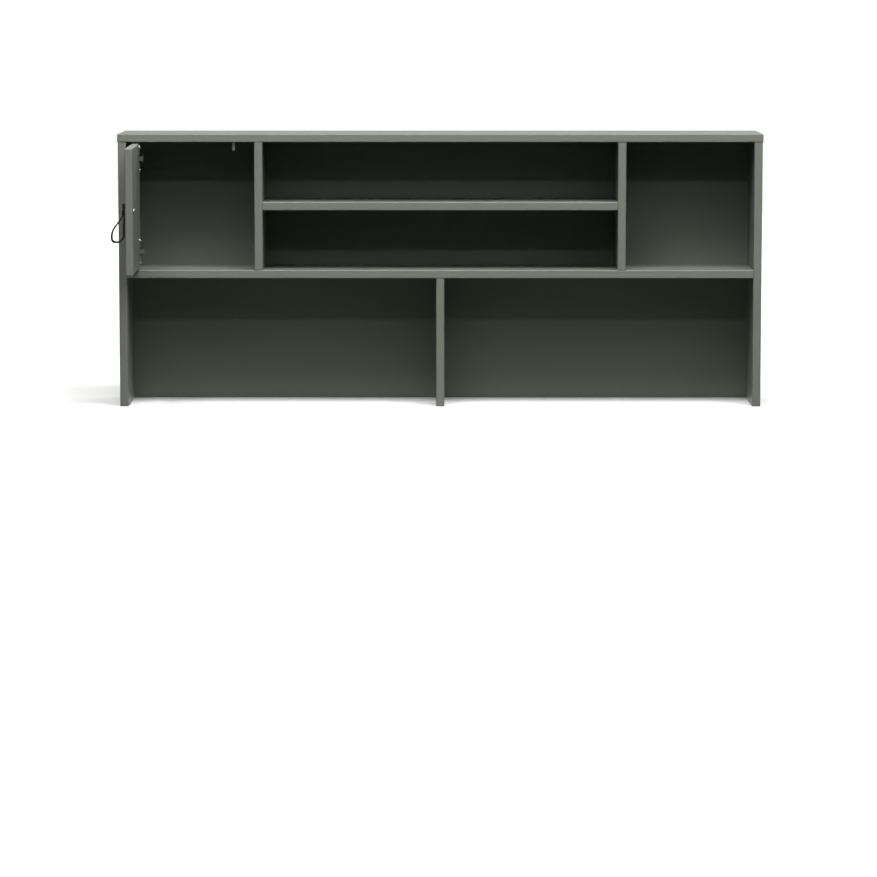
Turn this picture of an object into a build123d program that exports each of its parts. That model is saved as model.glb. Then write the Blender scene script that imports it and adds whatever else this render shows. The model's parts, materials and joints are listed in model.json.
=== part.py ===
from build123d import *
from math import cos, radians, sin, tan
import os

# Desk hutch: a painted wooden shelf unit that stands at the back of a desk.
# Millimetres, +X to the user's right, +Y to the back, +Z up. The origin lies on the desk top,
# at mid width and mid depth, under the lower divider.

# Carcass
WIDTH = 1100.0             # top panel, end to end
DEPTH = 160.0              # front edges to rear edges
HEIGHT = 466.0             # desk top to top face
BOARD = 14.0               # every board of the carcass
SIDE_SETBACK = 1.0         # each side stands in from the end of the top by this much
SHELF_CLEARANCE = 220.0    # free height under the main shelf
LETTER_SHELF_RISE = 102.0  # main shelf's upper face to the letter shelf's underside
LETTER_BAY_WIDTH = 606.0   # between the two upper dividers
EDGE_ROUND = 1.5           # rounding of the boards' long edges
BACK_THICKNESS = 6.0
BACK_RECESS = 18.0         # back panel's rear face to the boards' rear edges
BACK_FLOOR_GAP = 1.0       # back panel stays this far off the desk
GROOVE_DEPTH = 5.0
GROOVE_CLEARANCE = 0.2

# Knock-down fittings in the boards
HOLE_CLEARANCE = 0.1       # on the radius of every drilled hole
HOLE_SPARE = 1.0           # every blind hole is this much deeper than what it holds
FITTING_INSET = 22.0       # bolts and dowels from the front and rear ends of a joint
DOWEL_RADIUS = 4.0
DOWEL_LENGTH = 30.0
DOWEL_IN_FACE = 8.0        # part of a dowel that sits in a board's face
CAM_RADIUS = 6.0
CAM_END_WALL = 0.8         # bolt head to the cam's inner end
CAM_OFFSET = 24.0          # board's end to the cam's centre
BOLT_RADIUS = 2.0
BOLT_THREAD_RADIUS = 2.5
BOLT_THREAD_LENGTH = 8.0
BOLT_HEAD_RADIUS = 3.2
BOLT_HEAD_LENGTH = 2.4
DIVIDER_SCREW_RADIUS = 2.0
DIVIDER_SCREW_LENGTH = 45.0
BACK_SCREW_RADIUS = 1.5
BACK_SCREW_LENGTH = 18.0
BACK_SCREW_INSET = 50.0    # first and last screw of a row from the ends of its board
DESK_HOLE_RADIUS = 4.0
DESK_HOLE_DEPTH = 22.0
DESK_HOLE_SPACING = 96.0   # between the two holes in one side

# Door, hung between the left side and the left divider
DOOR_THICKNESS = 12.7
DOOR_SIDE_GAP = 1.7
DOOR_TOP_GAP = 2.5
DOOR_BOTTOM_GAP = 4.5
DOOR_ROUND = 2.0
OPEN_ANGLE = 88.6          # how far the door stands open
STOP_PIN_RADIUS = 2.4
STOP_PIN_DROP = 14.5       # below the top panel
STOP_PIN_DEPTH = 9.0       # into the top panel
STOP_PIN_FROM_DIVIDER = 35.7
STOP_PIN_GAP = 0.3         # to the closed door

# Concealed hinges, one above the other
HINGE_INSET = 26.0         # hinge centre to the door's top or bottom edge
PIVOT_FROM_EDGE = 13.3     # hinge pin to the door's edge
PIVOT_FROM_FRONT = 5.8     # hinge pin to the door's outer face
CUP_FROM_EDGE = 16.0       # cup's centre to the door's edge
CUP_RADIUS = 13.0
CUP_DEPTH = 10.2
CUP_WALL = 0.7
CUP_FLOOR = 0.5
CHEEK_THICKNESS = 1.2
CHEEK_GAP = 0.7            # eye to each cheek
EAR_WIDTH = 13.0
EAR_THICKNESS = 1.0
EAR_REACH = 24.0
CUP_SCREW_SPREAD = 38.0
CUP_SCREW_RADIUS = 1.5
CUP_SCREW_LENGTH = 10.0
PIN_RADIUS = 1.5
PIN_PRESS_GAP = 0.02       # pin in the cup's cheeks
PIN_RUNNING_GAP = 0.05     # pin in the arm's eye
EYE_WALL = 1.1
EYE_HEIGHT = 13.0          # length of the arm's eye along the pin
NECK_HEIGHT = 8.0          # arm where it passes the cup's rim
ARM_HEIGHT = 13.0          # arm from its goose neck to its base
ARM_THICKNESS = 1.4
ARM_ANGLE = 35.4           # the arm leaves the pin this far from the closed door's plane
ARM_CORNER_GAP = 0.8       # goose neck to the door's swinging corner
ARM_BEND_RADIUS = 3.5
ARM_BASE_LENGTH = 30.0
ARM_LIP = 4.0              # turned-up edges of the arm's base
ARM_LIP_THICKNESS = 1.2
PLATE_THICKNESS = 2.5
PLATE_FROM_FRONT = 30.0
PLATE_LENGTH = 36.0
PLATE_HEIGHT = 16.0
WING_LENGTH = 12.0
WING_REACH = 22.0
PLATE_SCREW_SPREAD = 32.0
PLATE_SCREW_RADIUS = 1.75
PLATE_SCREW_LENGTH = 12.0
ARM_SCREW_RADIUS = 2.0
ARM_SCREW_FROM_END = 6.0

# Leather pull on the door
PULL_FROM_EDGE = 20.0      # its screw to the door's free edge
STRAP_WIDTH = 14.0
STRAP_THICKNESS = 2.6
STRAP_FOLD_GAP = 0.1       # between the two ends laid together
STRAP_ABOVE_SCREW = 13.7
LOOP_DROP = 51.7           # screw to the bottom of the loop
LOOP_SHOULDER = 32.5       # screw to where the loop's far side leans in
LOOP_NEAR_RADIUS = 12.0
LOOP_FAR_RADIUS = 6.5
LOOP_SHOULDER_RADIUS = 26.0
LOOP_STANDOFF = 2.0        # loop's near side to the door
LOOP_REACH = 24.8          # loop's far side to the door
PULL_SCREW_RADIUS = 2.0
PULL_HEAD_RADIUS = 6.0
PULL_HEAD_HEIGHT = 2.7
NUT_BARREL_RADIUS = 3.0
NUT_CAP_RADIUS = 5.0
LOOP_TOP_GAP = 2.0         # edge of the nut's cap to where the strap's two ends part
NUT_CAP_HEIGHT = 1.1
NUT_IN_DOOR = 7.0

# Places that follow from the sizes above
front = -DEPTH / 2
rear = DEPTH / 2
back_rear = rear - BACK_RECESS
back_front = back_rear - BACK_THICKNESS
joint_middle = (front + back_front) / 2
joint_rows = (front + FITTING_INSET, back_front - FITTING_INSET)
cam_height = BOARD / 2 + BOLT_HEAD_RADIUS + CAM_END_WALL
bolt_reach = CAM_OFFSET + BOLT_HEAD_LENGTH / 2
under_top = HEIGHT - BOARD
side_outer = WIDTH / 2 - SIDE_SETBACK
side_inner = side_outer - BOARD
shelf_top = SHELF_CLEARANCE + BOARD
letter_bottom = shelf_top + LETTER_SHELF_RISE
letter_top = letter_bottom + BOARD
divider_inner = LETTER_BAY_WIDTH / 2
divider_outer = divider_inner + BOARD

door_left = -side_inner + DOOR_SIDE_GAP
door_right = -divider_outer - DOOR_SIDE_GAP
door_bottom = shelf_top + DOOR_BOTTOM_GAP
door_top = under_top - DOOR_TOP_GAP
door_inside = front + DOOR_THICKNESS
hinge_heights = {"upper": door_top - HINGE_INSET, "lower": door_bottom + HINGE_INSET}
pivot_x = door_left + PIVOT_FROM_EDGE
pivot_y = front + PIVOT_FROM_FRONT
plate_face = -side_inner + PLATE_THICKNESS
plate_start = front + PLATE_FROM_FRONT
plate_middle = plate_start + PLATE_LENGTH / 2
arm_screw_y = plate_start + ARM_BASE_LENGTH - ARM_SCREW_FROM_END
pull_x = door_right - PULL_FROM_EDGE
pull_z = (door_bottom + door_top) / 2
strap_pack = 2 * STRAP_THICKNESS + STRAP_FOLD_GAP


def block(x_low, x_high, y_low, y_high, z_low, z_high):
    """A rectangular block between two corners."""
    size = Vector(x_high - x_low, y_high - y_low, z_high - z_low)
    middle = Vector(x_low + x_high, y_low + y_high, z_low + z_high) / 2
    return Pos(*middle) * Box(*size)


def rod(start, direction, radius, length):
    """A cylinder that starts at a point and runs along a direction."""
    lowered = (Align.CENTER, Align.CENTER, Align.MIN)
    return Plane(origin=start, z_dir=direction) * Cylinder(radius, length, align=lowered)


def taper(start, direction, start_radius, end_radius, length):
    """A truncated cone that starts at a point and runs along a direction."""
    lowered = (Align.CENTER, Align.CENTER, Align.MIN)
    return Plane(origin=start, z_dir=direction) * Cone(start_radius, end_radius, length, align=lowered)


def cross_recess(start, direction, reach, depth):
    """The cross-shaped drive of a screw head, to cut away from it."""
    lowered = (Align.CENTER, Align.CENTER, Align.MIN)
    plane = Plane(origin=start, z_dir=direction)
    slot_width = reach / 3
    return plane * (Box(2 * reach, slot_width, depth, align=lowered)
                    + Box(slot_width, 2 * reach, depth, align=lowered))


def shank(start, direction, radius, length):
    """A screw's shank with a pointed tip."""
    tip = 1.6 * radius
    along = Vector(*direction)
    straight = rod(start, direction, radius, length - tip)
    point = taper(Vector(*start) + along * (length - tip), direction, radius, 0.25 * radius, tip)
    return straight + point


def countersunk_screw(start, direction, radius, length):
    """A wood screw with its flat head flush at the start point."""
    head_radius = 2 * radius
    head = taper(start, direction, head_radius, radius, head_radius - radius)
    screw = head + shank(start, direction, radius, length)
    return screw - cross_recess(start, direction, 0.55 * head_radius, 0.7 * radius)


def countersunk_hole(start, direction, radius, length):
    """The drilled hole and countersink for a countersunk screw."""
    head_radius = 2 * radius
    hole_radius = radius + HOLE_CLEARANCE
    sink = taper(start, direction, head_radius + HOLE_CLEARANCE, hole_radius, head_radius - radius)
    return sink + rod(start, direction, hole_radius, length + HOLE_SPARE)


def pan_screw(start, direction, radius, length):
    """A screw whose rounded head stands on the face at the start point."""
    outward = Vector(*direction) * -1
    head_radius = 1.9 * radius
    head_height = 1.1 * radius
    head = rod(start, outward, head_radius, head_height)
    top = head.edges().filter_by(GeomType.CIRCLE).sort_by(lambda edge: edge.center().dot(outward))[-1]
    head = fillet(top, 0.7 * head_height)
    recess_start = Vector(*start) + outward * head_height
    screw = head + shank(start, direction, radius, length)
    return screw - cross_recess(recess_start, direction, 0.5 * head_radius, 0.7 * head_height)


def dowel(face_point, into_end):
    """A chamfered wooden dowel across a joint; face_point is where its axis crosses the joint."""
    along = Vector(*into_end)
    start = Vector(*face_point) - along * DOWEL_IN_FACE
    pin = rod(start, into_end, DOWEL_RADIUS, DOWEL_LENGTH)
    return chamfer(pin.edges().filter_by(GeomType.CIRCLE), 0.8)


def dowel_hole(face_point, into_end):
    """The two drilled holes of one dowel, as a single tool for both boards."""
    along = Vector(*into_end)
    start = Vector(*face_point) - along * (DOWEL_IN_FACE + HOLE_SPARE)
    return rod(start, into_end, DOWEL_RADIUS + HOLE_CLEARANCE, DOWEL_LENGTH + 2 * HOLE_SPARE)


def cam_bolt(face_point, into_end):
    """A connecting bolt: its thread sits in one board's face, its head inside the cam of the other."""
    along = Vector(*into_end)
    point = Vector(*face_point)
    thread = rod(point - along * BOLT_THREAD_LENGTH, into_end, BOLT_THREAD_RADIUS, BOLT_THREAD_LENGTH)
    neck = rod(point, into_end, BOLT_RADIUS, bolt_reach)
    head = rod(point + along * (bolt_reach - BOLT_HEAD_LENGTH), into_end, BOLT_HEAD_RADIUS, BOLT_HEAD_LENGTH)
    return thread + neck + head


def cam_bolt_hole(face_point, into_end):
    """The thread's pilot hole in one board and the bolt's channel in the other."""
    along = Vector(*into_end)
    point = Vector(*face_point)
    thread_room = BOLT_THREAD_LENGTH + HOLE_SPARE
    pilot = rod(point - along * thread_room, into_end, BOLT_THREAD_RADIUS + HOLE_CLEARANCE, thread_room)
    return pilot + rod(point, into_end, BOLT_HEAD_RADIUS + HOLE_CLEARANCE, bolt_reach + HOLE_SPARE)


def cam(face_point, into_end, mouth):
    """The turning cam that pulls a bolt's head; mouth points out of the board's face."""
    middle = Vector(*face_point) + Vector(*into_end) * CAM_OFFSET
    outward = Vector(*mouth)
    face = middle + outward * (BOARD / 2)
    body = rod(face, outward * -1, CAM_RADIUS, cam_height)
    channel_start = middle + Vector(*into_end) * (BOLT_HEAD_LENGTH / 2 + HOLE_CLEARANCE)
    channel = rod(channel_start, Vector(*into_end) * -1, BOLT_HEAD_RADIUS + HOLE_CLEARANCE, 2 * CAM_RADIUS)
    return body - channel - cross_recess(face, outward * -1, 0.5 * CAM_RADIUS, 1.5)


def cam_hole(face_point, into_end, mouth):
    """The blind bore that a cam turns in."""
    middle = Vector(*face_point) + Vector(*into_end) * CAM_OFFSET
    outward = Vector(*mouth)
    face = middle + outward * (BOARD / 2)
    return rod(face, outward * -1, CAM_RADIUS + HOLE_CLEARANCE, cam_height + HOLE_CLEARANCE)


def group(solids):
    """Separate solids that share one node."""
    return Compound(children=list(solids))


# Where each joint's axis crosses from one board's face into the other board's end.
# Every entry is (point on the joint face, direction into the board that meets it end-on).
side_middle = side_outer - BOARD / 2
divider_middle = divider_inner + BOARD / 2
shelf_middle = SHELF_CLEARANCE + BOARD / 2
letter_middle = letter_bottom + BOARD / 2
down = (0, 0, -1)

top_bolts = [((sign * side_middle, y, under_top), down, (-sign, 0, 0))
             for sign in (-1, 1) for y in joint_rows]
top_pegs = [((sign * side_middle, joint_middle, under_top), down) for sign in (-1, 1)]
shelf_bolts = [((sign * side_inner, y, shelf_middle), (-sign, 0, 0), down)
               for sign in (-1, 1) for y in joint_rows]
shelf_pegs = [((sign * side_inner, joint_middle, shelf_middle), (-sign, 0, 0)) for sign in (-1, 1)]
divider_pegs = [((sign * divider_middle, y, under_top), down) for sign in (-1, 1) for y in joint_rows]
letter_pegs = [((sign * divider_inner, y, letter_middle), (-sign, 0, 0))
               for sign in (-1, 1) for y in joint_rows]
lower_pegs = [((0, y, SHELF_CLEARANCE), down) for y in joint_rows]
divider_screws = [((sign * divider_middle, y, SHELF_CLEARANCE), (0, 0, 1))
                  for sign in (-1, 1) for y in joint_rows]
shelf_screw_x = side_inner - BACK_SCREW_INSET
letter_screw_x = divider_inner - BACK_SCREW_INSET
back_screws = [((part * shelf_screw_x, back_rear, shelf_middle), (0, -1, 0))
               for part in (-1, -1 / 3, 1 / 3, 1)]
back_screws += [((sign * letter_screw_x, back_rear, letter_middle), (0, -1, 0)) for sign in (-1, 1)]
back_screws += [((sign * divider_middle, back_rear, z), (0, -1, 0))
                for sign in (-1, 1) for z in (shelf_top + BACK_SCREW_INSET, under_top - BACK_SCREW_INSET)]
back_screws += [((0, back_rear, z), (0, -1, 0))
                for z in (BACK_SCREW_INSET, SHELF_CLEARANCE - BACK_SCREW_INSET)]

dowel_holes = group(dowel_hole(*peg) for peg in
                    top_pegs + shelf_pegs + divider_pegs + letter_pegs + lower_pegs)
bolt_holes = group(cam_bolt_hole(point, into) for point, into, mouth in top_bolts + shelf_bolts)
cam_holes = group(cam_hole(*bolt) for bolt in top_bolts + shelf_bolts)
divider_screw_holes = group(countersunk_hole(*screw, DIVIDER_SCREW_RADIUS, DIVIDER_SCREW_LENGTH)
                            for screw in divider_screws)
back_screw_holes = group(countersunk_hole(*screw, BACK_SCREW_RADIUS, BACK_SCREW_LENGTH)
                         for screw in back_screws)


def drill(board, *tools):
    """Cut every hole of each tool group that reaches into a board."""
    for tool in tools:
        for hole in tool.children:
            board = board - hole
    return board


def back_groove():
    """The groove around the carcass that the back panel slides into."""
    half = side_inner + GROOVE_DEPTH
    return block(-half, half, back_front, back_rear + GROOVE_CLEARANCE, -1, under_top + GROOVE_DEPTH)


def make_top_panel():
    board = block(-WIDTH / 2, WIDTH / 2, front, rear, under_top, HEIGHT)
    board = fillet(board.edges(), EDGE_ROUND)
    board = drill(board - back_groove(), dowel_holes, bolt_holes)
    pin_x, pin_y = stop_pin_place()
    pin_hole = rod((pin_x, pin_y, under_top), (0, 0, 1), STOP_PIN_RADIUS + HOLE_CLEARANCE,
                   STOP_PIN_DEPTH + HOLE_SPARE / 2)
    return board - pin_hole


def make_side(sign):
    x_low, x_high = sorted((sign * side_inner, sign * side_outer))
    board = block(x_low, x_high, front, rear, 0, under_top)
    board = fillet(board.edges().filter_by(Axis.Z), EDGE_ROUND)
    board = drill(board - back_groove(), dowel_holes, bolt_holes, cam_holes)
    for y in (-DESK_HOLE_SPACING / 2, DESK_HOLE_SPACING / 2):
        board -= rod((sign * side_middle, y, 0), (0, 0, 1), DESK_HOLE_RADIUS, DESK_HOLE_DEPTH)
    if sign < 0:
        for point, along in plate_screws():
            board -= rod(point, along, PLATE_SCREW_RADIUS + HOLE_CLEARANCE, PLATE_SCREW_LENGTH)
    return board


def round_front_edges(board, axis):
    """Soften the two long edges at a board's front."""
    return fillet(board.edges().filter_by(axis).group_by(Axis.Y)[0], EDGE_ROUND)


def make_main_shelf():
    board = block(-side_inner, side_inner, front, back_front, SHELF_CLEARANCE, shelf_top)
    board = round_front_edges(board, Axis.X)
    return drill(board, dowel_holes, bolt_holes, cam_holes, divider_screw_holes, back_screw_holes)


def make_upper_divider(sign):
    x_low, x_high = sorted((sign * divider_inner, sign * divider_outer))
    board = block(x_low, x_high, front, back_front, shelf_top, under_top)
    board = round_front_edges(board, Axis.Z)
    return drill(board, dowel_holes, divider_screw_holes, back_screw_holes)


def make_letter_shelf():
    board = block(-divider_inner, divider_inner, front, back_front, letter_bottom, letter_top)
    board = round_front_edges(board, Axis.X)
    return drill(board, dowel_holes, back_screw_holes)


def make_lower_divider():
    board = block(-BOARD / 2, BOARD / 2, front, back_front, 0, SHELF_CLEARANCE)
    board = round_front_edges(board, Axis.Z)
    return drill(board, dowel_holes, back_screw_holes)


def make_back_panel():
    into_groove = GROOVE_DEPTH - GROOVE_CLEARANCE
    half = side_inner + into_groove
    panel = block(-half, half, back_front, back_rear, BACK_FLOOR_GAP, under_top + into_groove)
    return drill(panel, back_screw_holes)


def stop_pin_place():
    """The stop pin stands just behind the closed door, near its free edge."""
    return -divider_outer - STOP_PIN_FROM_DIVIDER, door_inside + STOP_PIN_GAP + STOP_PIN_RADIUS


def make_door_stop_pin():
    x, y = stop_pin_place()
    pin_length = STOP_PIN_DROP + STOP_PIN_DEPTH
    pin = rod((x, y, under_top - STOP_PIN_DROP), (0, 0, 1), STOP_PIN_RADIUS, pin_length)
    return chamfer(pin.edges().filter_by(GeomType.CIRCLE), 0.5)


def cup_screws():
    """Where the cup's screws enter the door, with their direction."""
    return [((door_left + CUP_FROM_EDGE, door_inside, z + sign * CUP_SCREW_SPREAD / 2), (0, -1, 0))
            for z in hinge_heights.values() for sign in (-1, 1)]


def plate_screws():
    """Where the plate's screws cross its visible face, with their direction into the side."""
    return [((plate_face, plate_middle, z + sign * PLATE_SCREW_SPREAD / 2), (-1, 0, 0))
            for z in hinge_heights.values() for sign in (-1, 1)]


def arm_screws():
    """Where the arm's screws meet its base, with their direction into the plate."""
    return [((plate_face + ARM_THICKNESS, arm_screw_y, z), (-1, 0, 0)) for z in hinge_heights.values()]


def make_door():
    """The door in its closed place."""
    door = block(door_left, door_right, front, door_inside, door_bottom, door_top)
    door = fillet(door.edges(), DOOR_ROUND)
    for z in hinge_heights.values():
        door -= rod((door_left + CUP_FROM_EDGE, door_inside, z), (0, -1, 0),
                    CUP_RADIUS + HOLE_CLEARANCE, CUP_DEPTH + HOLE_CLEARANCE)
    for point, along in cup_screws():
        door -= rod(point, along, CUP_SCREW_RADIUS + HOLE_CLEARANCE, CUP_SCREW_LENGTH)
    nut_hole_radius = NUT_BARREL_RADIUS + HOLE_CLEARANCE
    return door - rod((pull_x, front - 1, pull_z), (0, 1, 0), nut_hole_radius, DOOR_THICKNESS + 2)


def make_hinge_cup(z):
    """The steel cup in the door, with two cheeks that hold the pin and two screw ears."""
    x = door_left + CUP_FROM_EDGE
    cup = rod((x, door_inside, z), (0, -1, 0), CUP_RADIUS, CUP_DEPTH)
    room = rod((x, door_inside, z), (0, -1, 0), CUP_RADIUS - CUP_WALL, CUP_DEPTH - CUP_FLOOR)
    cheek_inner = EYE_HEIGHT / 2 + CHEEK_GAP
    cheek_outer = cheek_inner + CHEEK_THICKNESS
    cup -= room
    for sign in (-1, 1):
        z_low, z_high = sorted((z + sign * cheek_inner, z + sign * cheek_outer))
        cup += room & block(x - CUP_RADIUS, x + CUP_RADIUS, front, door_inside, z_low, z_high)
        z_low, z_high = sorted((z + sign * cheek_inner, z + sign * EAR_REACH))
        ear_face = door_inside + EAR_THICKNESS
        ear = block(x - EAR_WIDTH / 2, x + EAR_WIDTH / 2, door_inside, ear_face, z_low, z_high)
        outer_end = ear.edges().filter_by(Axis.Y).sort_by(lambda edge: sign * edge.center().Z)[-2:]
        cup += fillet(outer_end, EAR_WIDTH / 3)
        cup -= rod((x, ear_face, z + sign * CUP_SCREW_SPREAD / 2), (0, -1, 0),
                   CUP_SCREW_RADIUS + HOLE_CLEARANCE, EAR_THICKNESS)
    pin_hole_start = (pivot_x, pivot_y, z - cheek_outer)
    return cup - rod(pin_hole_start, (0, 0, 1), PIN_RADIUS + PIN_PRESS_GAP, 2 * cheek_outer)


def make_hinge_pin(z):
    reach = EYE_HEIGHT / 2 + CHEEK_GAP + CHEEK_THICKNESS
    return rod((pivot_x, pivot_y, z - reach), (0, 0, 1), PIN_RADIUS, 2 * reach)


def make_cup_screw(point, along):
    head_point = Vector(*point) - Vector(*along) * EAR_THICKNESS
    return pan_screw(head_point, along, CUP_SCREW_RADIUS, CUP_SCREW_LENGTH)


def strip(path, height):
    """A strip of sheet steel that stands on edge along a level path."""
    section = Plane(origin=path @ 0, x_dir=(0, 0, 1), z_dir=path % 0) * Rectangle(height, ARM_THICKNESS)
    return sweep(section, path=path)


def make_hinge_arm(z):
    """The cranked steel arm: an eye on the pin, a goose neck around the door's edge, a channel base."""
    corner_x = PIVOT_FROM_EDGE - DOOR_ROUND
    corner_y = DOOR_THICKNESS - PIVOT_FROM_FRONT - DOOR_ROUND
    corner_reach = (corner_x ** 2 + corner_y ** 2) ** 0.5 + DOOR_ROUND
    neck_length = corner_reach + ARM_CORNER_GAP + ARM_THICKNESS / 2
    run_y = pivot_y + neck_length
    pivot = Vector(pivot_x, pivot_y, z)
    bend = pivot + Vector(cos(radians(ARM_ANGLE)), sin(radians(ARM_ANGLE)), 0) * neck_length
    base_x = plate_face + ARM_THICKNESS / 2
    base_end = plate_start + ARM_BASE_LENGTH
    half_height = Vector(0, 0, ARM_HEIGHT / 2)
    arm = strip(Line(pivot, bend), NECK_HEIGHT)
    arm += rod(bend - half_height, (0, 0, 1), ARM_THICKNESS / 2, ARM_HEIGHT)
    arm += strip(CenterArc(pivot, neck_length, ARM_ANGLE, 90 - ARM_ANGLE), ARM_HEIGHT)
    route = [(pivot_x, run_y, z), (base_x, run_y, z), (base_x, base_end, z)]
    arm += strip(FilletPolyline(*route, radius=ARM_BEND_RADIUS), ARM_HEIGHT)
    eye_radius = PIN_RADIUS + PIN_RUNNING_GAP
    arm += rod(pivot - Vector(0, 0, EYE_HEIGHT / 2), (0, 0, 1), eye_radius + EYE_WALL, EYE_HEIGHT)
    lip_start = run_y + ARM_BEND_RADIUS + ARM_THICKNESS
    for sign in (-1, 1):
        lip_edge = z + sign * ARM_HEIGHT / 2
        z_low, z_high = sorted((lip_edge, lip_edge - sign * ARM_LIP_THICKNESS))
        arm += block(plate_face, plate_face + ARM_LIP, lip_start, base_end, z_low, z_high)
    arm -= rod(pivot - Vector(0, 0, EYE_HEIGHT), (0, 0, 1), eye_radius, 2 * EYE_HEIGHT)
    screw_hole_start = (plate_face - 1, arm_screw_y, z)
    return arm - rod(screw_hole_start, (1, 0, 0), ARM_SCREW_RADIUS + HOLE_CLEARANCE, 2 + ARM_THICKNESS)


def make_hinge_plate(z):
    """The cross-shaped plate on the side's inner face."""
    plate = block(-side_inner, plate_face, plate_start, plate_start + PLATE_LENGTH,
                  z - PLATE_HEIGHT / 2, z + PLATE_HEIGHT / 2)
    wings = block(-side_inner, plate_face, plate_middle - WING_LENGTH / 2, plate_middle + WING_LENGTH / 2,
                  z - WING_REACH, z + WING_REACH)
    plate = fillet(plate.edges().filter_by(Axis.X), 2.0)
    plate += fillet(wings.edges().filter_by(Axis.X), WING_LENGTH / 3)
    for sign in (-1, 1):
        hole = (plate_face, plate_middle, z + sign * PLATE_SCREW_SPREAD / 2)
        plate -= countersunk_hole(hole, (-1, 0, 0), PLATE_SCREW_RADIUS, PLATE_THICKNESS)
    return plate - rod((plate_face + 1, arm_screw_y, z), (-1, 0, 0), ARM_SCREW_RADIUS + HOLE_CLEARANCE,
                       PLATE_THICKNESS + 2)


def make_arm_screw(point, along):
    return pan_screw(point, along, ARM_SCREW_RADIUS, ARM_THICKNESS + PLATE_THICKNESS - HOLE_CLEARANCE)


def make_pull_strap():
    """A strip of leather folded into a hanging loop, its two ends laid together on the door."""
    near = STRAP_THICKNESS / 2
    far = near + STRAP_THICKNESS + STRAP_FOLD_GAP
    loop_near = LOOP_STANDOFF + near
    loop_far = LOOP_REACH - near
    loop_bottom = LOOP_DROP - near
    loop_top = NUT_CAP_RADIUS + LOOP_TOP_GAP
    # Distance out from the door, and drop below the screw, of each point of the strap's middle line.
    outline = [(near, -STRAP_ABOVE_SCREW), (near, loop_top), (loop_near, 3 * loop_top),
               (loop_near, loop_bottom), (loop_far, loop_bottom), (loop_far, LOOP_SHOULDER),
               (far, loop_top), (far, -STRAP_ABOVE_SCREW)]
    bends = [loop_top, 2 * loop_top, LOOP_NEAR_RADIUS, LOOP_FAR_RADIUS, LOOP_SHOULDER_RADIUS,
             0.8 * loop_top]
    route = [(pull_x, front - out, pull_z - drop) for out, drop in outline]
    path = FilletPolyline(*route, radius=bends)
    plane = Plane(origin=path @ 0, x_dir=(1, 0, 0), z_dir=path % 0)
    strap = sweep(plane * Rectangle(STRAP_WIDTH, STRAP_THICKNESS), path=path)
    nut_hole_radius = NUT_BARREL_RADIUS + HOLE_CLEARANCE
    return strap - rod((pull_x, front, pull_z), (0, -1, 0), nut_hole_radius, strap_pack + 1)


def make_pull_nut():
    """The flat-headed sleeve nut that clamps the strap's ends to the door."""
    face = front - strap_pack
    cap = rod((pull_x, face, pull_z), (0, -1, 0), NUT_CAP_RADIUS, NUT_CAP_HEIGHT)
    outer_rim = cap.edges().filter_by(GeomType.CIRCLE).sort_by(Axis.Y)[0]
    cap = fillet(outer_rim, 0.5 * NUT_CAP_HEIGHT)
    barrel = rod((pull_x, face, pull_z), (0, 1, 0), NUT_BARREL_RADIUS, strap_pack + NUT_IN_DOOR)
    bore_radius = PULL_SCREW_RADIUS + HOLE_CLEARANCE
    bore = rod((pull_x, face, pull_z), (0, 1, 0), bore_radius, strap_pack + NUT_IN_DOOR + 1)
    return cap + barrel - bore


def make_pull_screw():
    """The screw that enters from the door's inner face and holds the sleeve nut."""
    head = rod((pull_x, door_inside, pull_z), (0, 1, 0), PULL_HEAD_RADIUS, PULL_HEAD_HEIGHT)
    outer_rim = head.edges().filter_by(GeomType.CIRCLE).sort_by(Axis.Y)[-1]
    head = fillet(outer_rim, 0.7 * PULL_HEAD_HEIGHT)
    length = DOOR_THICKNESS + strap_pack - HOLE_SPARE
    screw = head + rod((pull_x, door_inside, pull_z), (0, -1, 0), PULL_SCREW_RADIUS, length)
    recess_start = (pull_x, door_inside + PULL_HEAD_HEIGHT, pull_z)
    return screw - cross_recess(recess_start, (0, -1, 0), 0.5 * PULL_HEAD_RADIUS, 0.6 * PULL_HEAD_HEIGHT)


def swing_open(shape):
    """Turn a piece of the door from its closed place to where the door stands open."""
    hinge_line = Axis((pivot_x, pivot_y, 0), (0, 0, 1))
    return shape.rotate(hinge_line, -OPEN_ANGLE)


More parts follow.
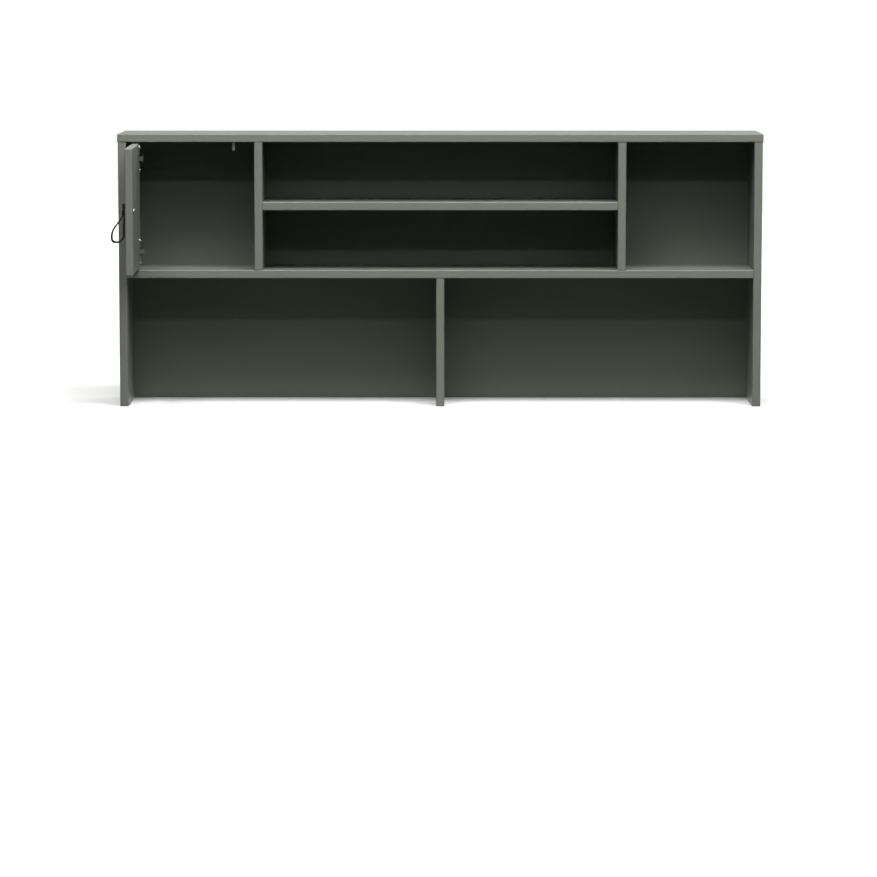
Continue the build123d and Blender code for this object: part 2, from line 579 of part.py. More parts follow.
nodes = {
    "top_panel": make_top_panel(),
    "left_side": make_side(-1),
    "right_side": make_side(1),
    "main_shelf": make_main_shelf(),
    "left_divider": make_upper_divider(-1),
    "right_divider": make_upper_divider(1),
    "letter_shelf": make_letter_shelf(),
    "lower_divider": make_lower_divider(),
    "back_panel": make_back_panel(),
    "top_cam_bolts": group(cam_bolt(point, into) for point, into, mouth in top_bolts),
    "top_cams": group(cam(*bolt) for bolt in top_bolts),
    "top_dowels": group(dowel(*peg) for peg in top_pegs),
    "shelf_cam_bolts": group(cam_bolt(point, into) for point, into, mouth in shelf_bolts),
    "shelf_cams": group(cam(*bolt) for bolt in shelf_bolts),
    "shelf_dowels": group(dowel(*peg) for peg in shelf_pegs),
    "divider_dowels": group(dowel(*peg) for peg in divider_pegs),
    "divider_screws": group(countersunk_screw(*screw, DIVIDER_SCREW_RADIUS, DIVIDER_SCREW_LENGTH)
                            for screw in divider_screws),
    "letter_shelf_dowels": group(dowel(*peg) for peg in letter_pegs),
    "lower_divider_dowels": group(dowel(*peg) for peg in lower_pegs),
    "back_panel_screws": group(countersunk_screw(*screw, BACK_SCREW_RADIUS, BACK_SCREW_LENGTH)
                               for screw in back_screws),
    "door_stop_pin": make_door_stop_pin(),
    "door": swing_open(make_door()),
    "hinge_plate_screws": group(countersunk_screw(*screw, PLATE_SCREW_RADIUS, PLATE_SCREW_LENGTH)
                                for screw in plate_screws()),
    "hinge_arm_screws": group(make_arm_screw(*screw) for screw in arm_screws()),
    "hinge_cup_screws": group(swing_open(make_cup_screw(*screw)) for screw in cup_screws()),
    "pull_strap": swing_open(make_pull_strap()),
    "pull_nut": swing_open(make_pull_nut()),
    "pull_screw": swing_open(make_pull_screw()),
}
for name, height in hinge_heights.items():
    nodes[f"{name}_hinge_cup"] = swing_open(make_hinge_cup(height))
    nodes[f"{name}_hinge_pin"] = swing_open(make_hinge_pin(height))
    nodes[f"{name}_hinge_arm"] = make_hinge_arm(height)
    nodes[f"{name}_hinge_plate"] = make_hinge_plate(height)

os.makedirs("parts", exist_ok=True)
for name, shape in nodes.items():
    export_step(shape, f"parts/{name}.step")
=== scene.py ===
import json
from math import cos, pi, radians, sin, tan

import bmesh
import bpy
from mathutils import Matrix, Vector


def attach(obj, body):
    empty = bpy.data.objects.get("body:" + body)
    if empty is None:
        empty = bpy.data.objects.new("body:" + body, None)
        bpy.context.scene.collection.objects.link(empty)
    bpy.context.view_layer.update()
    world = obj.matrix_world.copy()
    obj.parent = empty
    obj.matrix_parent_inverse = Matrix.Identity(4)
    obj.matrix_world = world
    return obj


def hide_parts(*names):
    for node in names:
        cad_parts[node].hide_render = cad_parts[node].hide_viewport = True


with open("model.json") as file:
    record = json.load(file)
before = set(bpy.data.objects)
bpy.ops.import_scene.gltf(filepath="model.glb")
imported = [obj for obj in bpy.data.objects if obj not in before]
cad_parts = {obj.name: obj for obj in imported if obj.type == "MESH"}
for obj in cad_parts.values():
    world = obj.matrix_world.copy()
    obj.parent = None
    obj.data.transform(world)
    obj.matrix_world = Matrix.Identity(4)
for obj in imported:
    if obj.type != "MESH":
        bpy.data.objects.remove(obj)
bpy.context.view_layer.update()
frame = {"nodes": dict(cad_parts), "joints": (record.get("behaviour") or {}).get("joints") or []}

# Camera. A long lens set at standing eye height, square to the front of the hutch, level, and
# tipped down a little, so the top face shows as a narrow band.
scene = bpy.context.scene
CAMERA_PLACE = (0.01688, -6.56615, 0.71328)
CAMERA_AIM = (-0.0030239, 0.99304689, -0.11768064)
CAMERA_LENS = 156.157
camera = bpy.data.objects.new("camera", bpy.data.cameras.new("camera"))
scene.collection.objects.link(camera)
camera.location = CAMERA_PLACE
camera.rotation_euler = Vector(CAMERA_AIM).to_track_quat("-Z", "Y").to_euler()
camera.data.sensor_width = 36
camera.data.lens = CAMERA_LENS
scene.camera = camera
scene.view_settings.view_transform = "Standard"

# Studio. A pale matte floor and a white background. The floor glows more the farther it lies from
# the hutch, painted light that fades it into the background. A broad soft light hangs overhead a
# little in front, and a long strip light in front throws the level shadow line into each bay. A
# faint light from below stands for the desk top that the hutch belongs on.


def place(tree, kind, sockets=None, **settings):
    """Add a node, set its options, and fill or link the sockets named in a dictionary."""
    made = tree.nodes.new("ShaderNode" + kind)
    for name, value in settings.items():
        setattr(made, name, value)
    for name, value in (sockets or {}).items():
        if isinstance(value, bpy.types.NodeSocket):
            tree.links.new(value, made.inputs[name])
        else:
            made.inputs[name].default_value = value
    return made


def calc(tree, operation, *values):
    """The result of one Math node."""
    return place(tree, "Math", dict(enumerate(values)), operation=operation).outputs[0]


def spread(tree, value, low, high, to_low=0.0, to_high=1.0):
    """A value stretched smoothly from one range onto another."""
    sockets = {"Value": value, "From Min": low, "From Max": high, "To Min": to_low, "To Max": to_high}
    return place(tree, "MapRange", sockets, interpolation_type="SMOOTHSTEP").outputs["Result"]


FLOOR_COLOUR = (0.86, 0.86, 0.85, 1)
FLOOR_SIZE = 5.5
FLOOR_FADE = (0.8, 4.5)
bm = bmesh.new()
bmesh.ops.create_grid(bm, x_segments=1, y_segments=1, size=FLOOR_SIZE)
floor = bpy.data.objects.new("floor", bpy.data.meshes.new("floor"))
bm.to_mesh(floor.data)
bm.free()
scene.collection.objects.link(floor)
floor_paint = bpy.data.materials.new("pale_floor")
floor_paint.use_nodes = True
floor_tree = floor_paint.node_tree
floor_shader = floor_tree.nodes["Principled BSDF"].inputs
floor_shader["Base Color"].default_value = FLOOR_COLOUR
floor_shader["Roughness"].default_value = 0.9
floor_spot = place(floor_tree, "TexCoord").outputs["Object"]
floor_reach = place(floor_tree, "VectorMath", {0: floor_spot}, operation="LENGTH").outputs["Value"]
# Emission rising with distance from the hutch: painted light that whitens the far floor.
floor_tree.links.new(spread(floor_tree, floor_reach, *FLOOR_FADE), floor_shader["Emission Strength"])
floor_shader["Emission Color"].default_value = (1, 1, 1, 1)
floor.data.materials.append(floor_paint)
floor.visible_diffuse = False
floor.visible_glossy = False

# The background is white to the eye. The light that it gives comes mostly from behind the hutch.
SKY_ALL_ROUND = 0.01
SKY_BEHIND = 0.5
world = bpy.data.worlds.new("studio")
world.use_nodes = True
scene.world = world
sky = world.node_tree
to_sky = place(sky, "TexCoord").outputs["Generated"]
sky_y = place(sky, "SeparateXYZ", {"Vector": to_sky}).outputs["Y"]
sky_level = spread(sky, sky_y, 0.0, 0.3, SKY_ALL_ROUND, SKY_BEHIND)
seen = place(sky, "LightPath").outputs["Is Camera Ray"]
seen_level = place(sky, "Mix", {"Factor": seen, "A": sky_level, "B": 1.0}).outputs["Result"]
sky.links.new(seen_level, sky.nodes["Background"].inputs["Strength"])
sky.nodes["Background"].inputs["Color"].default_value = (1, 1, 1, 1)

# Each lamp: degrees round from the front (right is positive) and above the horizon, distance
# from the hutch's middle, width and height, and power in watts.
LAMPS = {
    "soft_overhead": (11, 63, 3.4, 3.4, 1.3, 200),
    "strip_in_front": (2, 29.8, 4.0, 5.0, 0.12, 14.5),
    "strip_from_left": (-30, 29.8, 4.6, 0.8, 0.12, 2.0),
    "soft_in_front": (0, 45, 3.0, 2.4, 0.7, 12),
    "left_high": (-50, 60, 3.0, 1.2, 1.0, 2),
    "left_low": (-45, 25, 3.5, 1.2, 1.0, 1.5),
    "right_low": (45, 25, 3.5, 1.2, 1.0, 6),
    "right_side": (80, 20, 3.0, 1.2, 1.0, 3),
    "rear_left": (-125, 28, 3.5, 1.6, 1.4, 30),
    "rear_right": (125, 28, 3.5, 1.6, 1.4, 30),
}
MIDDLE = Vector((0, 0, 0.3))
for name, (around, above, away, width, height, power) in LAMPS.items():
    flat = cos(radians(above))
    toward = Vector((flat * sin(radians(around)), -flat * cos(radians(around)), sin(radians(above))))
    lamp = bpy.data.objects.new(name, bpy.data.lights.new(name, "AREA"))
    lamp.location = MIDDLE + away * toward
    lamp.rotation_euler = (-toward).to_track_quat("-Z", "Y").to_euler()
    lamp.data.shape = "RECTANGLE"
    lamp.data.size, lamp.data.size_y, lamp.data.energy = width, height, power
    lamp.visible_camera = False
    scene.collection.objects.link(lamp)

GLOW_PLACE = (0, -0.2, 0.0015)
GLOW_WIDTH = 1.07
GLOW_DEPTH = 0.5
GLOW_POWER = 0.48
GLOW_COLOUR = (0.92, 1.0, 0.84)
desk_glow = bpy.data.objects.new("desk_glow", bpy.data.lights.new("desk_glow", "AREA"))
desk_glow.location = GLOW_PLACE
desk_glow.rotation_euler = (pi, 0, 0)
desk_glow.data.shape = "RECTANGLE"
desk_glow.data.size, desk_glow.data.size_y, desk_glow.data.energy = GLOW_WIDTH, GLOW_DEPTH, GLOW_POWER
desk_glow.data.color = GLOW_COLOUR
desk_glow.visible_camera = False
scene.collection.objects.link(desk_glow)

# Boards. Planed softwood sprayed with satin grey-green paint, so the grain is only a faint relief.
# Narrow faces are painted lighter than broad faces, painted light that sets the fronts brighter than
# the tops, and the rounded edges are painted darker, painted shade that dims their highlight. Hidden
# cams, dowels and screws hold them together. The door is the same board, open on its hinges.
PAINT = (0.168, 0.184, 0.156, 1)
# Lighter tone painted on the narrow faces: painted light.
NARROW_FACE_PAINTED_LIGHT = (0.198, 0.214, 0.182, 1)
DULL_PAINT = (0.154, 0.168, 0.143, 1)
# Darker tone painted on the rounded edges: painted shade that dims their highlight.
EDGE_PAINTED_SHADE = (0.118, 0.128, 0.110, 1)
GROWTH_RING = 0.0045
GRAIN_DEPTH = 0.045
PEEL_DEPTH = 0.016
EDGE_BAND = 0.0026
EDGE_SHADE_STRENGTH = 0.45
EDGE_DULLER = 0.06
CUT_EDGE_BAND = (0.0004, 0.0022)
HINGE = frame["joints"][0]


def new_group(name, inputs, outputs):
    """An empty node group with the named sockets: its tree, input values and output sockets."""
    tree = bpy.data.node_groups.new(name, "ShaderNodeTree")
    for direction, sockets in (("INPUT", inputs), ("OUTPUT", outputs)):
        for socket, kind in sockets.items():
            tree.interface.new_socket(name=socket, in_out=direction, socket_type="NodeSocket" + kind)
    return tree, tree.nodes.new("NodeGroupInput").outputs, tree.nodes.new("NodeGroupOutput").inputs


def stretched_noise(tree, position, scales, detail=3.0, roughness=0.55):
    """Noise drawn out along a direction, from 0 to 1."""
    drawn = place(tree, "VectorMath", {0: position, 1: scales}, operation="MULTIPLY").outputs[0]
    sockets = {"Vector": drawn, "Scale": 1.0, "Detail": detail, "Roughness": roughness}
    return place(tree, "TexNoise", sockets).outputs["Fac"]


# Edge: 1 on the board's edges, falling to 0 across the band. Cut Edge: 1 on its narrow faces.
tree, given, result = new_group(
    "board_edge", {"Position": "Vector", "Half Size": "Vector", "Band": "Float"},
    {"Edge": "Float", "Cut Edge": "Float"})
inward = place(tree, "VectorMath", {0: given["Position"]}, operation="ABSOLUTE").outputs[0]
inward = place(tree, "VectorMath", {0: given["Half Size"], 1: inward}, operation="SUBTRACT").outputs[0]
depths = place(tree, "SeparateXYZ", {"Vector": inward}).outputs
lower = calc(tree, "MINIMUM", depths[0], depths[1])
upper = calc(tree, "MAXIMUM", depths[0], depths[1])
middle = calc(tree, "MAXIMUM", lower, calc(tree, "MINIMUM", upper, depths[2]))
ragged = stretched_noise(tree, given["Position"], (60, 220, 220))
band = calc(tree, "MULTIPLY", given["Band"], spread(tree, ragged, 0.3, 0.75, 0.35, 1.5))
tree.links.new(calc(tree, "SUBTRACT", 1.0, spread(tree, calc(tree, "DIVIDE", middle, band), 0.0, 1.0)),
               result["Edge"])
cut_edge = spread(tree, lower, *CUT_EDGE_BAND)
tree.links.new(calc(tree, "SUBTRACT", 1.0, cut_edge), result["Cut Edge"])
board_edge = tree

# Wood: growth rings about a pith beside the board, and fibres drawn out along the length.
tree, given, result = new_group(
    "wood_grain", {"Position": "Vector", "Pith": "Vector", "Ring": "Float"},
    {"Rings": "Float", "Fibres": "Float", "Tone": "Float"})
about_pith = place(tree, "VectorMath", {0: given["Position"], 1: given["Pith"]}, operation="ADD")
about_pith = about_pith.outputs[0]
wander = stretched_noise(tree, about_pith, (2.2, 9, 9), detail=2.0)
wander = calc(tree, "MULTIPLY", calc(tree, "SUBTRACT", wander, 0.5), 0.045)
across = place(tree, "SeparateXYZ", {"Vector": about_pith}).outputs
radius = calc(tree, "SQRT", calc(tree, "ADD", calc(tree, "MULTIPLY", across[1], across[1]),
                                 calc(tree, "MULTIPLY", across[2], across[2])))
turns = calc(tree, "FRACT", calc(tree, "DIVIDE", calc(tree, "ADD", radius, wander), given["Ring"]))
late_wood = calc(tree, "MULTIPLY", spread(tree, turns, 0.35, 0.9), spread(tree, turns, 1.0, 0.92))
tree.links.new(late_wood, result["Rings"])
tree.links.new(stretched_noise(tree, about_pith, (14, 900, 900)), result["Fibres"])
tree.links.new(stretched_noise(tree, about_pith, (3, 16, 16), detail=4.0), result["Tone"])
wood_grain = tree

# Paint film: the fine orange peel of a sprayed coat, and slow changes in its sheen.
tree, given, result = new_group("paint_film", {"Position": "Vector"}, {"Peel": "Float", "Sheen": "Float"})
tree.links.new(stretched_noise(tree, given["Position"], (420, 420, 420), detail=2.0), result["Peel"])
tree.links.new(stretched_noise(tree, given["Position"], (11, 26, 26), detail=5.0), result["Sheen"])
paint_film = tree


def use_group(tree, group, sockets):
    """Place a node group in a material: its outputs."""
    made = place(tree, "Group", node_tree=group)
    for name, value in sockets.items():
        if isinstance(value, bpy.types.NodeSocket):
            tree.links.new(value, made.inputs[name])
        else:
            made.inputs[name].default_value = value
    return made.outputs


def new_material(name, roughness, **constants):
    """A material with one Principled BSDF: its tree and the BSDF's sockets."""
    material = bpy.data.materials.new(name)
    material.use_nodes = True
    tree = material.node_tree
    shader = tree.nodes["Principled BSDF"].inputs
    shader["Roughness"].default_value = roughness
    for socket, value in constants.items():
        shader[socket.replace("_", " ")].default_value = value
    return material, tree, shader


def wear_material(name, material):
    """Give a CAD node this material all over."""
    slots = frame["nodes"][name].data.materials
    if not slots:
        slots.append(material)
    for index in range(len(slots)):
        slots[index] = material


def turned_box(mesh, turn):
    """The lowest and highest corners of a mesh after a turn."""
    turned = [turn @ vertex.co for vertex in mesh.vertices]
    return tuple(Vector([pick(point[axis] for point in turned) for axis in range(3)])
                 for pick in (min, max))


def lined_up(tree, mesh, turn):
    """Object coordinates turned and centred on a mesh: the coordinates and half the mesh's size."""
    low, high = turned_box(mesh, turn)
    spot = place(tree, "TexCoord").outputs["Object"]
    sockets = {"Vector": spot, "Location": -(low + high) / 2, "Rotation": turn.to_euler()}
    return place(tree, "Mapping", sockets).outputs["Vector"], (high - low) / 2


ALONG_X = Matrix.Identity(3)
ALONG_Z = Matrix.Rotation(radians(90), 3, "Y")
AS_CLOSED = Matrix.Rotation(radians(HINGE["range_deg"][1]), 3, "Z")
FACE_UP = Matrix.Rotation(radians(90), 3, "X")
# Each board: the turn that lays it flat with its length along X, and where its pith ran.
BOARDS = {
    "top_panel": (ALONG_X, (0.3, 0.05, -0.11)),
    "main_shelf": (ALONG_X, (0.8, -0.02, 0.13)),
    "letter_shelf": (ALONG_X, (1.3, 0.11, -0.07)),
    "left_side": (ALONG_Z, (1.9, 0.03, 0.12)),
    "right_side": (ALONG_Z, (2.6, -0.06, 0.10)),
    "left_divider": (ALONG_Z, (3.1, 0.12, -0.06)),
    "right_divider": (ALONG_Z, (3.7, -0.09, 0.09)),
    "lower_divider": (ALONG_Z, (4.2, 0.04, -0.14)),
    "door": (FACE_UP @ ALONG_Z @ AS_CLOSED, (4.9, 0.02, 0.12)),
}
for name, (turn, pith) in BOARDS.items():
    material, tree, shader = new_material("satin_paint_" + name, 0.4)
    position, half_size = lined_up(tree, frame["nodes"][name].data, turn)
    grain = use_group(tree, wood_grain, {"Position": position, "Pith": pith, "Ring": GROWTH_RING})
    edge = use_group(tree, board_edge, {"Position": position, "Half Size": half_size, "Band": EDGE_BAND})
    film = use_group(tree, paint_film, {"Position": position})
    dulled = spread(tree, grain["Tone"], 0.3, 0.75)
    body_colour = place(tree, "Mix", {"Factor": dulled, "A": PAINT, "B": DULL_PAINT}, data_type="RGBA")
    # Narrow faces painted lighter than the broad faces: painted light.
    colour = place(tree, "Mix", {"Factor": edge["Cut Edge"], "A": body_colour.outputs["Result"],
                                 "B": NARROW_FACE_PAINTED_LIGHT}, data_type="RGBA")
    # Rounded edges painted darker: painted shade that dims their highlight.
    edge_shade = calc(tree, "MULTIPLY", edge["Edge"], EDGE_SHADE_STRENGTH)
    colour = place(tree, "Mix", {"Factor": edge_shade, "A": colour.outputs["Result"], "B": EDGE_PAINTED_SHADE},
                   data_type="RGBA")
    tree.links.new(colour.outputs["Result"], shader["Base Color"])
    sheen = spread(tree, film["Sheen"], 0.3, 0.7, 0.36, 0.47)
    sheen = calc(tree, "MULTIPLY_ADD", edge["Edge"], EDGE_DULLER, sheen)
    tree.links.new(sheen, shader["Roughness"])
    relief = calc(tree, "MULTIPLY", grain["Rings"], GRAIN_DEPTH)
    relief = calc(tree, "MULTIPLY_ADD", grain["Fibres"], 0.3 * GRAIN_DEPTH, relief)
    relief = calc(tree, "MULTIPLY_ADD", film["Peel"], PEEL_DEPTH, relief)
    bump = place(tree, "Bump", {"Height": relief, "Distance": 0.001, "Strength": 1.0})
    tree.links.new(bump.outputs["Normal"], shader["Normal"])
    wear_material(name, material)

# Back panel. Thin smooth board in the same paint, slid into grooves in the boards around it and
# screwed to their rear edges. It has no grain of its own, only the paint's orange peel.
BACK_PAINT = (0.176, 0.190, 0.158, 1)
BACK_DULL = (0.166, 0.179, 0.147, 1)
material, tree, shader = new_material("satin_paint_back_panel", 0.45)
position, _ = lined_up(tree, frame["nodes"]["back_panel"].data, ALONG_X)
film = use_group(tree, paint_film, {"Position": position})
streaks = stretched_noise(tree, position, (2.5, 30, 9), detail=4.0)
colour = place(tree, "Mix", {"Factor": spread(tree, streaks, 0.35, 0.7), "A": BACK_PAINT,
                             "B": BACK_DULL}, data_type="RGBA")
tree.links.new(colour.outputs["Result"], shader["Base Color"])
tree.links.new(spread(tree, film["Sheen"], 0.3, 0.7, 0.42, 0.52), shader["Roughness"])
bump = place(tree, "Bump", {"Height": calc(tree, "MULTIPLY", film["Peel"], 0.014), "Distance": 0.001})
tree.links.new(bump.outputs["Normal"], shader["Normal"])
wear_material("back_panel", material)

# Dowels. Bare beech pegs glued into the boards' ends: pale pinkish wood with short dark flecks.
BEECH = (0.52, 0.33, 0.18, 1)
BEECH_FLECK = (0.33, 0.18, 0.09, 1)
BEECH_PITH = (0, 0.03, 0.02)
BEECH_RING = 0.0021
DOWEL_DIRECTIONS = {"top_dowels": ALONG_Z, "shelf_dowels": ALONG_X, "divider_dowels": ALONG_Z,
                    "letter_shelf_dowels": ALONG_X, "lower_divider_dowels": ALONG_Z}
for name, turn in DOWEL_DIRECTIONS.items():
    material, tree, shader = new_material("beech_" + name, 0.6)
    position, _ = lined_up(tree, frame["nodes"][name].data, turn)
    grain = use_group(tree, wood_grain, {"Position": position, "Pith": BEECH_PITH, "Ring": BEECH_RING})
    flecks = spread(tree, stretched_noise(tree, position, (260, 2600, 900), detail=2.0), 0.58, 0.66)
    dark = calc(tree, "MAXIMUM", calc(tree, "MULTIPLY", grain["Rings"], 0.5), flecks)
    colour = place(tree, "Mix", {"Factor": dark, "A": BEECH, "B": BEECH_FLECK}, data_type="RGBA")
    tree.links.new(colour.outputs["Result"], shader["Base Color"])
    tree.links.new(spread(tree, grain["Fibres"], 0.3, 0.7, 0.5, 0.68), shader["Roughness"])
    bump = place(tree, "Bump", {"Height": calc(tree, "MULTIPLY", grain["Fibres"], 0.06), "Distance": 0.001})
    tree.links.new(bump.outputs["Normal"], shader["Normal"])
    wear_material(name, material)

# Metal fittings. Cams are die-cast zinc, bolts and screws zinc-plated steel, hinges nickel-plated
# pressed steel on bright pins, held to the door by satin steel screws. The pull has a satin steel
# screw and a nut burnished dark. The door stop is a peg in pale lacquer.
tree, given, result = new_group(
    "handled_metal", {"Position": "Vector", "Grain Size": "Float"},
    {"Smudges": "Float", "Speckle": "Float", "Brushing": "Float"})
tree.links.new(stretched_noise(tree, given["Position"], (130, 130, 130), detail=5.0), result["Smudges"])
fine = place(tree, "VectorMath", {0: given["Position"], "Scale": given["Grain Size"]}, operation="SCALE")
tree.links.new(place(tree, "TexVoronoi", {"Vector": fine.outputs[0], "Scale": 1.0}).outputs["Distance"],
               result["Speckle"])
tree.links.new(stretched_noise(tree, given["Position"], (160, 5200, 160), detail=2.0), result["Brushing"])
handled_metal = tree


def metal(name, bright, dull, gloss, rough, grain_size, pitted, brushed, metallic=1.0):
    """A metal whose plating clouds over in places, with a fine cast or brushed surface."""
    material, tree, shader = new_material(name, rough, Metallic=metallic)
    spot = place(tree, "TexCoord").outputs["Object"]
    marks = use_group(tree, handled_metal, {"Position": spot, "Grain Size": grain_size})
    clouded = spread(tree, marks["Smudges"], 0.35, 0.7)
    colour = place(tree, "Mix", {"Factor": clouded, "A": bright, "B": dull}, data_type="RGBA")
    tree.links.new(colour.outputs["Result"], shader["Base Color"])
    tree.links.new(spread(tree, marks["Smudges"], 0.3, 0.75, gloss, rough), shader["Roughness"])
    relief = calc(tree, "MULTIPLY", marks["Speckle"], pitted)
    relief = calc(tree, "MULTIPLY_ADD", marks["Brushing"], brushed, relief)
    bump = place(tree, "Bump", {"Height": relief, "Distance": 0.001})
    tree.links.new(bump.outputs["Normal"], shader["Normal"])
    return material


METALS = {
    "die_cast_zinc": (metal("die_cast_zinc", (0.55, 0.56, 0.58, 1), (0.38, 0.39, 0.41, 1),
                            0.38, 0.55, 1800, 0.03, 0.0), ("top_cams", "shelf_cams")),
    "zinc_plate": (metal("zinc_plate", (0.60, 0.60, 0.57, 1), (0.42, 0.43, 0.42, 1),
                         0.4, 0.55, 2600, 0.006, 0.004),
                   ("top_cam_bolts", "shelf_cam_bolts", "divider_screws", "back_panel_screws",
                    "hinge_plate_screws", "hinge_arm_screws")),
    "nickel_plate": (metal("nickel_plate", (0.46, 0.45, 0.43, 1), (0.32, 0.315, 0.30, 1),
                           0.36, 0.5, 2200, 0.004, 0.006),
                     ("upper_hinge_cup", "lower_hinge_cup", "upper_hinge_arm", "lower_hinge_arm",
                      "upper_hinge_plate", "lower_hinge_plate")),
    "bright_steel": (metal("bright_steel", (0.60, 0.60, 0.60, 1), (0.45, 0.45, 0.45, 1),
                           0.18, 0.3, 2600, 0.002, 0.004), ("upper_hinge_pin", "lower_hinge_pin")),
    "pale_lacquer": (metal("pale_lacquer", (0.93, 0.93, 0.91, 1), (0.84, 0.84, 0.82, 1),
                           0.35, 0.5, 2600, 0.003, 0.008, 0.0), ("door_stop_pin",)),
    "satin_steel": (metal("satin_steel", (0.34, 0.34, 0.32, 1), (0.24, 0.24, 0.23, 1),
                          0.42, 0.55, 2600, 0.003, 0.004), ("pull_screw", "hinge_cup_screws")),
    "burnished_steel": (metal("burnished_steel", (0.10, 0.10, 0.10, 1), (0.05, 0.05, 0.05, 1),
                              0.25, 0.42, 2600, 0.003, 0.003), ("pull_nut",)),
}
for material, names in METALS.values():
    for name in names:
        wear_material(name, material)

# Leather pull. A strap of near-black leather with rounded, waxed edges, folded into a hanging
# loop. Its two ends lie one on the other, and a sleeve nut and screw clamp them to the door.
STRAP_WIDTH = 0.014
STRAP_THICKNESS = 0.0026
FOLD_GAP = 0.0001
ABOVE_SCREW = 0.0137
LOOP_TOP = 0.007
LOOP_STANDOFF = 0.0020
LOOP_REACH = 0.0248
LOOP_DROP = 0.0517
LOOP_SHOULDER = 0.0325
LOOP_RADII = (0.012, 0.0065, 0.026)
NUT_HOLE = 0.0031
LEATHER = (0.028, 0.027, 0.026, 1)
LEATHER_HIGH = (0.050, 0.048, 0.045, 1)
LEATHER_EDGE = (0.020, 0.0195, 0.019, 1)
PORE_SCALE = 1300.0
near = STRAP_THICKNESS / 2
far = near + STRAP_THICKNESS + FOLD_GAP
loop_near = LOOP_STANDOFF + near
loop_far = LOOP_REACH - near
loop_bottom = LOOP_DROP - near
# Distance out from the door, and drop below the screw, of each corner that the strap goes round.
corners = [(near, -ABOVE_SCREW), (near, LOOP_TOP), (loop_near, 3 * LOOP_TOP), (loop_near, loop_bottom),
           (loop_far, loop_bottom), (loop_far, LOOP_SHOULDER), (far, LOOP_TOP), (far, -ABOVE_SCREW)]
corners = [Vector((0, -out, -drop)) for out, drop in corners]
bends = [LOOP_TOP, 2 * LOOP_TOP, *LOOP_RADII, 0.8 * LOOP_TOP]
STEP = 0.0014
CUTS_ACROSS = (-0.42, -0.25, 0.0, 0.25, 0.42)
PUNCHED_OUT = 0.0035
ROUNDED_EDGE = 0.0006
WAXED_RIM = (0.0009, 0.0003)
bm = bmesh.new()
start = corners[0]
ends = [bm.verts.new(start + Vector((side * STRAP_WIDTH / 2, 0, 0))) for side in (-1, 1)]
front_edge = [bm.edges.new(ends)]


def run_strap(edges, along):
    """Extend the strap's end straight by a vector, in short steps."""
    steps = max(1, round(along.length / STEP))
    for _ in range(steps):
        made = bmesh.ops.extrude_edge_only(bm, edges=edges)["geom"]
        edges = [item for item in made if isinstance(item, bmesh.types.BMEdge)]
        verts = {vertex for edge in edges for vertex in edge.verts}
        bmesh.ops.translate(bm, verts=list(verts), vec=along / steps)
    return edges


def end_edge(middle):
    """The crosswise edge of the strap at a point of its middle line."""
    crosswise = [edge for edge in bm.edges
                 if abs((edge.verts[0].co - edge.verts[1].co).x) > STRAP_WIDTH / 2]
    return [min(crosswise, key=lambda edge: ((edge.verts[0].co + edge.verts[1].co) / 2 - middle).length)]


here = start
for before, corner, after, bend in zip(corners, corners[1:], corners[2:], bends):
    into = (corner - before).normalized()
    out_of = (after - corner).normalized()
    turn = into.angle(out_of)
    cut = bend * tan(turn / 2)
    run_end = corner - into * cut
    run_strap(front_edge, run_end - here)
    axis = into.cross(out_of).normalized()
    centre = run_end + axis.cross(into) * bend
    steps = max(2, round(turn * bend / STEP))
    bmesh.ops.spin(bm, geom=end_edge(run_end), cent=centre, axis=axis, angle=turn, steps=steps,
                   dvec=(0, 0, 0), use_duplicate=False)
    here = corner + out_of * cut
    front_edge = end_edge(here)
run_strap(front_edge, corners[-1] - here)
bmesh.ops.remove_doubles(bm, verts=bm.verts, dist=0.00002)
for cut_at in CUTS_ACROSS:
    bmesh.ops.bisect_plane(bm, geom=bm.verts[:] + bm.edges[:] + bm.faces[:], dist=0.00001,
                           plane_co=(cut_at * STRAP_WIDTH, 0, 0), plane_no=(1, 0, 0))
for layer in (near, far):
    hole = Vector((0, -layer, 0))
    around = [face for face in bm.faces if max(map(abs, face.calc_center_median() - hole)) < PUNCHED_OUT]
    rim = {edge for face in around for edge in face.edges}
    bmesh.ops.delete(bm, geom=around, context="FACES")
    rim = [edge for edge in rim if edge.is_valid]
    made = bmesh.ops.extrude_edge_only(bm, edges=rim)["geom"]
    for vertex in (item for item in made if isinstance(item, bmesh.types.BMVert)):
        vertex.co = hole + (vertex.co - hole).normalized() * NUT_HOLE
bmesh.ops.recalc_face_normals(bm, faces=bm.faces)
pivot = Matrix.Translation(HINGE["pos_m"])
closing = pivot @ AS_CLOSED.to_4x4() @ pivot.inverted()
nut_low, nut_high = turned_box(frame["nodes"]["pull_nut"].data, closing)
door_low, _ = turned_box(frame["nodes"]["door"].data, closing)
screw = (nut_low + nut_high) / 2
screw.y = door_low.y
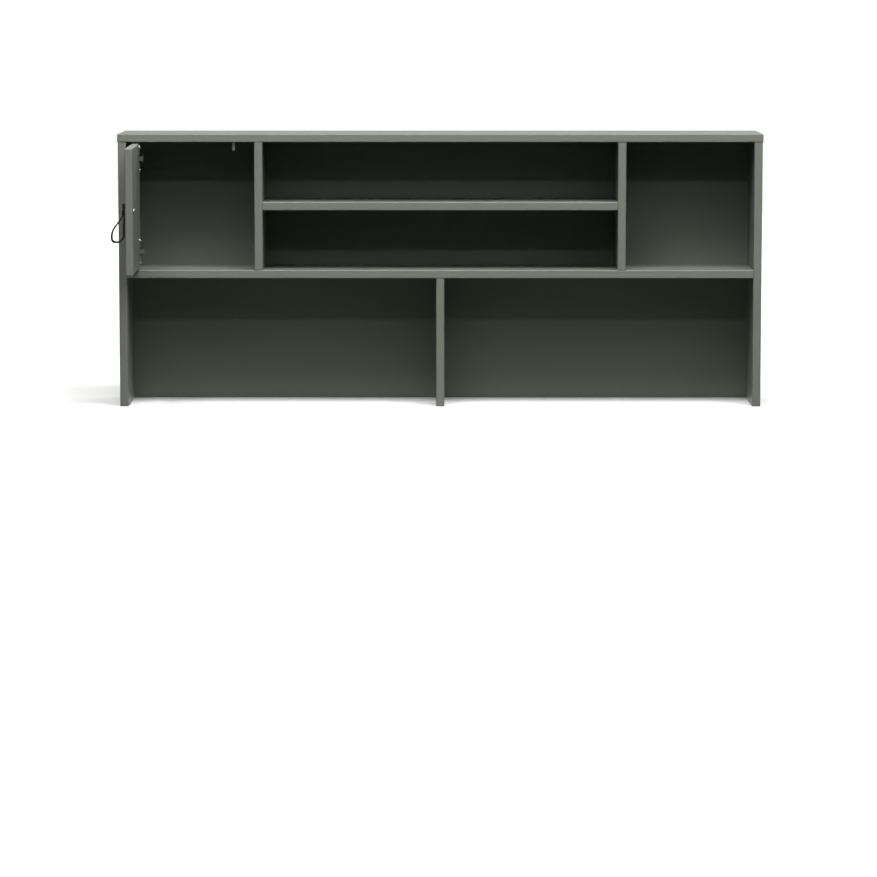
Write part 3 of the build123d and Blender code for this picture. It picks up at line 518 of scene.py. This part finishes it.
bmesh.ops.transform(bm, matrix=closing.inverted() @ Matrix.Translation(screw), verts=bm.verts)
strap = bpy.data.objects.new("leather_pull", bpy.data.meshes.new("leather_pull"))
bm.to_mesh(strap.data)
bm.free()
scene.collection.objects.link(strap)
for polygon in strap.data.polygons:
    polygon.use_smooth = True
thickness = strap.modifiers.new("thickness", "SOLIDIFY")
thickness.thickness = STRAP_THICKNESS
thickness.offset = 0
thickness.use_even_offset = True
rounding = strap.modifiers.new("rounded_edges", "BEVEL")
rounding.width = ROUNDED_EDGE
rounding.segments = 3
rounding.limit_method = "ANGLE"
rounding.angle_limit = radians(40)
material, tree, shader = new_material("black_leather", 0.5)
position, _ = lined_up(tree, strap.data, AS_CLOSED)
pores = place(tree, "TexVoronoi", {"Vector": position, "Scale": PORE_SCALE}, feature="DISTANCE_TO_EDGE")
creases = spread(tree, pores.outputs[0], 0.0, 0.16)
blotches = stretched_noise(tree, position, (170, 170, 170), detail=5.0)
handled = spread(tree, blotches, 0.4, 0.72)
colour = place(tree, "Mix", {"Factor": calc(tree, "MULTIPLY", creases, handled), "A": LEATHER,
                             "B": LEATHER_HIGH}, data_type="RGBA").outputs["Result"]
sideways = calc(tree, "ABSOLUTE", place(tree, "SeparateXYZ", {"Vector": position}).outputs["X"])
waxed = spread(tree, sideways, *(STRAP_WIDTH / 2 - inward for inward in WAXED_RIM))
colour = place(tree, "Mix", {"Factor": waxed, "A": colour, "B": LEATHER_EDGE}, data_type="RGBA")
tree.links.new(colour.outputs["Result"], shader["Base Color"])
sheen = spread(tree, blotches, 0.3, 0.7, 0.42, 0.6)
tree.links.new(calc(tree, "MULTIPLY_ADD", waxed, -0.15, sheen), shader["Roughness"])
relief = calc(tree, "MULTIPLY", creases, calc(tree, "SUBTRACT", 1.0, waxed))
bump = place(tree, "Bump", {"Height": calc(tree, "MULTIPLY", relief, 0.09), "Distance": 0.001})
tree.links.new(bump.outputs["Normal"], shader["Normal"])
strap.data.materials.append(material)
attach(strap, "door")
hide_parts("pull_strap")
